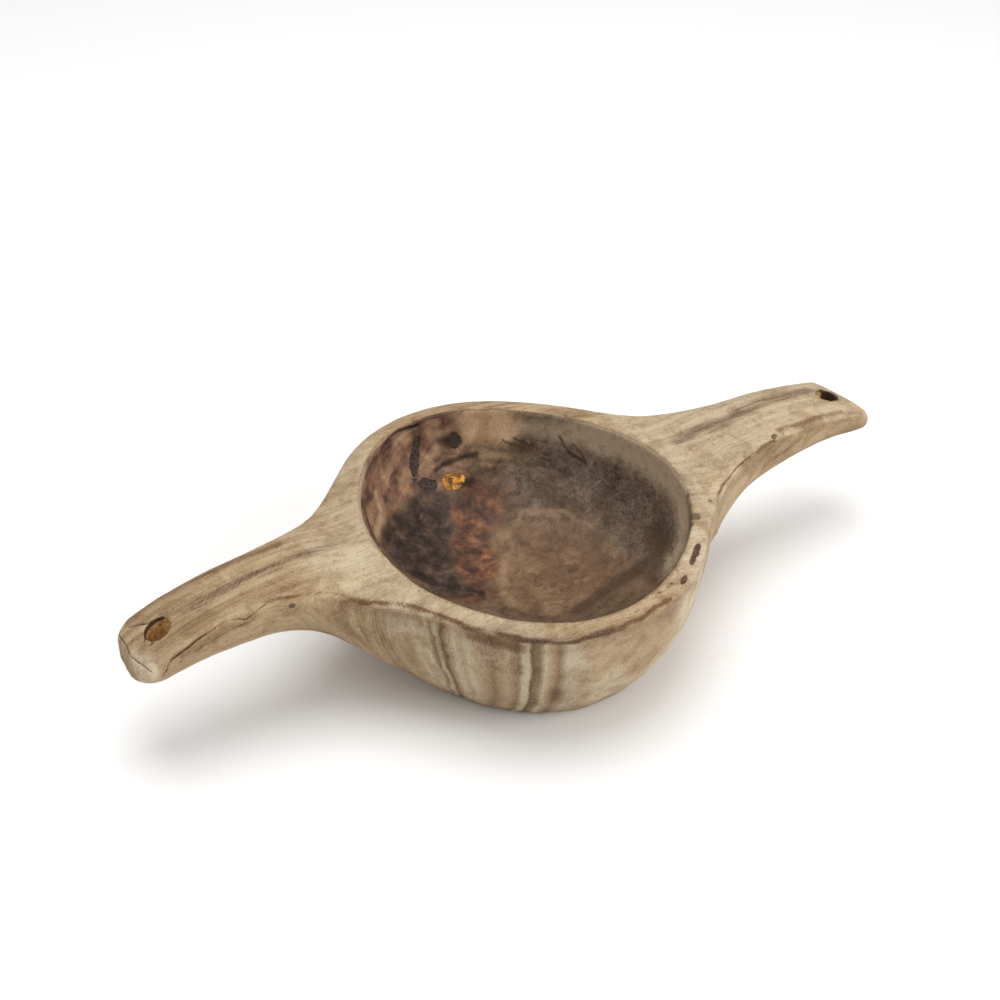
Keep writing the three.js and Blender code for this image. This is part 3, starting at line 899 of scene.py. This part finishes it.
def dish_colours(g, streaks, lumps, mid, fine, place):
    """The colour of each part of the dish, by stain, and the coarse grit that frays the dark ones."""
    cloud = g.weighted((lumps, 0.5), (mid, 0.35), (streaks, 0.15))
    blotch = g.noise(place, 0.1, 3, 0.5, 0.4)
    grit = g.weighted((blotch, 0.6), (fine, 0.15), (mid, 0.25))
    fleshy = g.weighted((streaks, 0.45), (blotch, 0.55))
    misty = g.weighted((cloud, 0.65), (fine, 0.35))
    scales = {
        "oiled": (cloud, (0.38, srgb(82, 62, 46)), (0.5, srgb(104, 82, 62)), (0.62, srgb(126, 103, 80))),
        "floor": (cloud, (0.38, srgb(100, 75, 54)), (0.5, srgb(122, 94, 69)), (0.62, srgb(146, 118, 90))),
        "pale": (streaks, (0.35, srgb(198, 162, 127)), (0.6, srgb(226, 194, 157))),
        "rosy": (
            fleshy,
            (0.36, srgb(88, 64, 54)),
            (0.46, srgb(128, 97, 78)),
            (0.55, srgb(160, 126, 100)),
            (0.66, srgb(192, 158, 126)),
        ),
        "smoke": (
            misty,
            (0.36, srgb(70, 58, 48)),
            (0.46, srgb(97, 82, 69)),
            (0.54, srgb(122, 106, 91)),
            (0.64, srgb(152, 136, 118)),
        ),
        "glow": (streaks, (0.35, srgb(148, 122, 92)), (0.6, srgb(178, 152, 118))),
        "rust": (
            grit,
            (0.36, srgb(50, 34, 29)),
            (0.45, srgb(82, 54, 42)),
            (0.53, srgb(112, 73, 52)),
            (0.63, srgb(146, 102, 72)),
        ),
        "heart": (
            grit,
            (0.36, srgb(38, 30, 27)),
            (0.46, srgb(56, 44, 39)),
            (0.55, srgb(76, 61, 52)),
            (0.66, srgb(110, 86, 66)),
        ),
        "ember": (fine, (0.35, srgb(144, 90, 56)), (0.6, srgb(184, 130, 84))),
    }
    return {name: g.ramp(*scale) for name, scale in scales.items()}, grit


def oiled_wood(g, streaks, threads, lumps, mid, fine, place):
    """The oiled dish with its dark heart, rusty halo and smoky right side, and a painted sheen and rim
    highlight.
    """
    colours, grit = dish_colours(g, streaks, lumps, mid, fine, place)
    oiled = colours["oiled"]
    oiled = g.stained(oiled, "floor", colours["floor"], mid, 0.5, 0.15, 0.85)
    oiled = g.stained(oiled, "pale", colours["pale"], threads, 0.35, 0.15, 0.75, 0.92)
    oiled = g.stained(oiled, "rosy", colours["rosy"], mid, 0.8, 0.15, 0.85)
    oiled = g.stained(oiled, "smoke", colours["smoke"], lumps, 1.1, 0.1, 0.95, 0.94)
    oiled = g.stained(oiled, "glow", colours["glow"], mid, 0.6, 0.1, 0.9, 0.75)
    oiled = g.stained(oiled, "umber", srgb(76, 57, 41), mid, 0.9, 0.1, 0.95, 0.75)
    # The painted sheen on the right wall and the painted highlight on the left rim edge.
    oiled = g.stained(oiled, "painted_sheen", srgb(204, 181, 153), mid, 0.5, 0.1, 0.95, 0.85)
    dots = g.times(g.band(g.noise(place, 0.55, 4, 0.7), 0.5, 0.36), g.attribute("speckle"))
    oiled = g.mix(g.times(dots, 0.7), oiled, srgb(56, 43, 31))
    oiled = g.stained(oiled, "feather", srgb(62, 54, 48), fine, 0.8, 0.15, 0.9, 0.75)
    oiled = g.stained(oiled, "rust", colours["rust"], grit, 1.6, 0.1, 0.9, 0.94)
    oiled = g.stained(oiled, "heart", colours["heart"], grit, 1.2, 0.2, 0.75)
    oiled = g.stained(oiled, "ember", colours["ember"], mid, 0.9, 0.15, 0.85, 0.75)
    return g.stained(oiled, "mauve", srgb(78, 54, 52), fine, 0.6, 0.3, 0.62, 0.7)


def body_material():
    g = Graph("carved_hardwood")
    place = g.place()
    fibres = g.attribute("grain", "Vector")
    inner = g.attribute("inner")
    streaks = g.noise(g.scaled(fibres, (0.012, 0.16, 0.03)), 1, 4, 0.55, 0.4)
    threads = g.noise(g.scaled(fibres, (0.05, 1.1, 0.25)), 1, 4, 0.6, 0.2)
    lumps = g.noise(place, 0.055, 4, 0.6, 0.6)
    mid = g.noise(place, 0.14, 5, 0.65, 0.9)
    fine = g.noise(place, 0.38, 5, 0.68, 0.4)
    specks = g.noise(place, 1.1, 3, 0.65)

    bare = bare_wood(g, streaks, threads, lumps, mid, fine, fibres)
    oiled = oiled_wood(g, streaks, threads, lumps, mid, fine, place)
    base = g.mix(g.band(inner, 0.3, 0.7), bare, oiled)
    dry = g.minus(1.0, g.times(inner, 0.75))
    lines = g.times(g.times(g.band(threads, 0.58, 0.34), 0.2), dry)
    base = g.tinted(lines, base, srgb(150, 120, 92))
    mottle = g.times(g.band(mid, 0.5, 0.34), 0.3)
    base = g.tinted(mottle, base, srgb(196, 172, 148))
    pores = g.times(g.band(specks, 0.46, 0.3), 0.55)
    base = g.tinted(pores, base, srgb(146, 118, 94))
    light = g.times(g.times(g.band(specks, 0.56, 0.72), 0.22), dry)
    base = g.tinted(light, base, srgb(226, 214, 196), "SCREEN")
    cracks = g.edged("cracks", fine, 0.5, 0.2, 0.8)
    burnt_and_shade = g.edged("burnt_and_shade", fine, 0.45, 0.2, 0.85)
    # Dark crack lines, and the painted shade ring around each inclusion.
    base = g.mix(g.times(cracks, 0.85), base, srgb(82, 56, 38))
    # Burnt and rotted marks and darkened hole mouths, with painted shade inside the deep slit and deep down
    # the bores.
    base = g.mix(g.times(burnt_and_shade, 0.92), base, srgb(40, 28, 22))
    g.put(g.shader.inputs["Base Color"], base)

    sheen = g.weighted((fine, 0.24), (inner, -0.2), (burnt_and_shade, 0.2))
    g.put(g.shader.inputs["Roughness"], g.plus(sheen, 0.52))
    g.bump(g.plus(g.times(g.times(threads, 0.7), dry), g.weighted((specks, 0.4), (fine, 0.6))), 0.4)
    g.shader.inputs["Specular IOR Level"].default_value = 0.16
    return g.material


def bark_material(name, dark, mid, light):
    g = Graph(name)
    place = g.place()
    coarse = g.noise(place, 0.45, 5, 0.7, 0.8)
    crust = g.weighted((coarse, 0.7), (g.cells(place, 0.9), 0.35))
    g.put(g.shader.inputs["Base Color"], g.ramp(crust, (0.35, dark), (0.52, mid), (0.78, light)))
    g.put(g.shader.inputs["Roughness"], g.ramp(coarse, (0.3, grey(0.6)), (0.7, grey(0.92))))
    g.bump(crust, 1.0)
    return g.material


def resin_material():
    g = Graph("amber_resin")
    place = g.place()
    clouds = g.noise(place, 0.22, 3, 0.55, 0.7)
    flakes = g.cells(place, 0.3)
    amber = g.weighted((clouds, 0.9), (flakes, 0.12))
    deep, brown, gold, clear = srgb(84, 52, 14), srgb(154, 100, 22), srgb(204, 142, 36), srgb(230, 176, 72)
    colour = g.ramp(amber, (0.4, deep), (0.49, brown), (0.58, gold), (0.72, clear))
    g.put(g.shader.inputs["Base Color"], colour)
    g.put(g.shader.inputs["Roughness"], g.ramp(flakes, (0.1, grey(0.42)), (0.8, grey(0.6))))
    g.bump(amber, 0.2)
    g.shader.inputs["Specular IOR Level"].default_value = 0.35
    return g.material


def knot_material(name, dark, mid, light):
    g = Graph(name)
    rings = g.noise(g.scaled(g.attribute("lump", "Vector"), (0.5, 0.5, 3.2)), 1, 3, 0.5, 0.5)
    fine = g.noise(g.place(), 0.8, 4, 0.65)
    knot = g.weighted((rings, 0.6), (fine, 0.4))
    g.put(g.shader.inputs["Base Color"], g.ramp(knot, (0.34, dark), (0.48, mid), (0.6, light)))
    g.put(g.shader.inputs["Roughness"], g.ramp(fine, (0.3, grey(0.5)), (0.7, grey(0.8))))
    g.bump(knot, 0.8)
    return g.material


# ------------------------------------------------------------------ the carved block
STEP = 1.9


def build_body():
    points, quads = grid_mesh(carved, (-254, -127, -4), (254, 127, 98), STEP)
    points, _ = snapped(points)
    mesh = mesh_data("carved_block", points, quads)
    refine(mesh, fine_distance, (4.5, 2.2))
    points, normals = snapped(read_points(mesh))
    inner = on_dish(points)
    fibres, front, band = grain(points, inner)
    store(mesh, "grain", fibres)
    store(mesh, "front", front)
    store(mesh, "band", (band + 120) / 120)
    store(mesh, "inner", inner)
    for name, values in paint(points, inner).items():
        store(mesh, name, values)
    write_points(mesh, points + relief(points, normals)[:, None] * normals)
    print("body points", len(points), "faces", len(mesh.polygons))
    add_piece("carved_block", mesh, "root", "carved_body", body_material())


def build_inclusion(piece, slot_name, material, recess, crust):
    """An inclusion's lump, cut off a little below the surface of the wood."""
    at, size, axes = lump_axes(piece)
    reach = np.full(3, size.max() + 3.0)

    def field(x, y, z):
        p = np.stack([x.ravel(), y.ravel(), z.ravel()], 1)
        rind = 0.4 * crust * rough(p, 2.4, 11)
        both = np.maximum(lump(p, piece) - 0.3, carved(*p.T) + recess + rind)
        return both.reshape(x.shape)

    points, quads = grid_mesh(field, at - reach, at + reach, 0.45)
    mesh = mesh_data(piece + "_skin", points, quads)
    q = (points - at) @ axes.T / size
    store(mesh, "lump", np.stack([q[:, 0], q[:, 1], np.hypot(q[:, 0], q[:, 1])], 1))
    add_piece(piece + "_skin", mesh, "root", piece, material)


build_body()
dark_bark = bark_material("dark_bark", srgb(30, 23, 20), srgb(62, 47, 40), srgb(112, 88, 70))
red_bark = bark_material("red_bark", srgb(38, 20, 14), srgb(78, 44, 32), srgb(124, 86, 60))
knot = knot_material("knot_wood", srgb(52, 39, 27), srgb(88, 70, 47), srgb(124, 104, 74))
burnt_knot = knot_material("burnt_knot_wood", srgb(26, 20, 19), srgb(48, 35, 30), srgb(78, 58, 47))
# Piece, slot, material, how far its skin lies below the wood, roughness of the skin.
SKINS = (
    ("bark_sliver", "dark_bark", dark_bark, 0.5, 1.0),
    ("bark_pocket", "dark_bark", dark_bark, 0.4, 1.2),
    ("resin_lump", "resin", resin_material(), 0.1, 0.5),
    ("wall_knot", "knot_wood", burnt_knot, 0.1, 0.4),
    ("rim_knot_large", "knot_wood", knot, 0.15, 0.5),
    ("rim_knot_small", "knot_wood", knot, 0.15, 0.5),
    ("rim_bark_strip", "red_bark", red_bark, 0.35, 0.9),
    ("rim_bark_patch", "red_bark", red_bark, 0.35, 0.9),
    ("right_pin_knot", "knot_wood", knot, 0.1, 0.3),
    ("left_pin_knot", "knot_wood", knot, 0.1, 0.3),
)
for skin in SKINS:
    build_inclusion(*skin)

# ------------------------------------------------------------------ stage, light, camera
CAMERA = dict(elevation=36.74, azimuth=29.96, roll=0.86, distance=1100, focal=1.8235, shift=(-0.0247, 0.033))


def place_camera():
    e, t = math.radians(CAMERA["elevation"]), math.radians(CAMERA["azimuth"])
    right = Vector((math.cos(t), -math.sin(t), 0))
    away = Vector((math.sin(t), math.cos(t), 0))
    up = away * math.sin(e) + Vector((0, 0, math.cos(e)))
    back = -(away * math.cos(e) - Vector((0, 0, math.sin(e))))
    a = math.radians(CAMERA["roll"])
    right, up = right * math.cos(a) + up * math.sin(a), up * math.cos(a) - right * math.sin(a)
    eye = Vector((0, DATUM_Y, 60)) * MM + back * CAMERA["distance"] * MM
    data = bpy.data.cameras.new("camera")
    data.sensor_width = 36
    data.lens = 36 * CAMERA["focal"]
    data.shift_x, data.shift_y = CAMERA["shift"]
    data.clip_start, data.clip_end = 0.01, 100
    ob = bpy.data.objects.new("camera", data)
    bpy.context.scene.collection.objects.link(ob)
    ob.matrix_world = Matrix(
        (
            (right.x, up.x, back.x, eye.x),
            (right.y, up.y, back.y, eye.y),
            (right.z, up.z, back.z, eye.z),
            (0, 0, 0, 1),
        )
    )
    bpy.context.scene.camera = ob


def area_light(name, at, look, size, power):
    data = bpy.data.lights.new(name, "AREA")
    data.shape, data.size, data.energy = "DISK", size, power
    ob = bpy.data.objects.new(name, data)
    bpy.context.scene.collection.objects.link(ob)
    ob.location = at
    ob.rotation_euler = (Vector(look) - Vector(at)).to_track_quat("-Z", "Y").to_euler()


def build_stage():
    area_light("overhead", (-0.05, 0.25, 1.9), (0, 0, 0.05), 1.6, 24)
    area_light("front_fill", (1.1, -1.5, 1.0), (0, 0, 0.05), 1.4, 20)
    world = bpy.data.worlds.new("studio")
    world.use_nodes = True
    world.node_tree.nodes["Background"].inputs[0].default_value = (1, 1, 1, 1)
    world.node_tree.nodes["Background"].inputs[1].default_value = 0.58
    bpy.context.scene.world = world
    bpy.context.scene.view_settings.view_transform = "Standard"
    mesh = bpy.data.meshes.new("floor")
    mesh.from_pydata([(-40, -40, 0), (40, -40, 0), (40, 40, 0), (-40, 40, 0)], [], [(0, 1, 2, 3)])
    material = bpy.data.materials.new("floor")
    material.use_nodes = True
    shader = material.node_tree.nodes["Principled BSDF"]
    shader.inputs["Base Color"].default_value = (0.9, 0.9, 0.895, 1)
    shader.inputs["Roughness"].default_value = 0.9
    mesh.materials.append(material)
    floor = bpy.data.objects.new("floor", mesh)
    bpy.context.scene.collection.objects.link(floor)


place_camera()
build_stage()
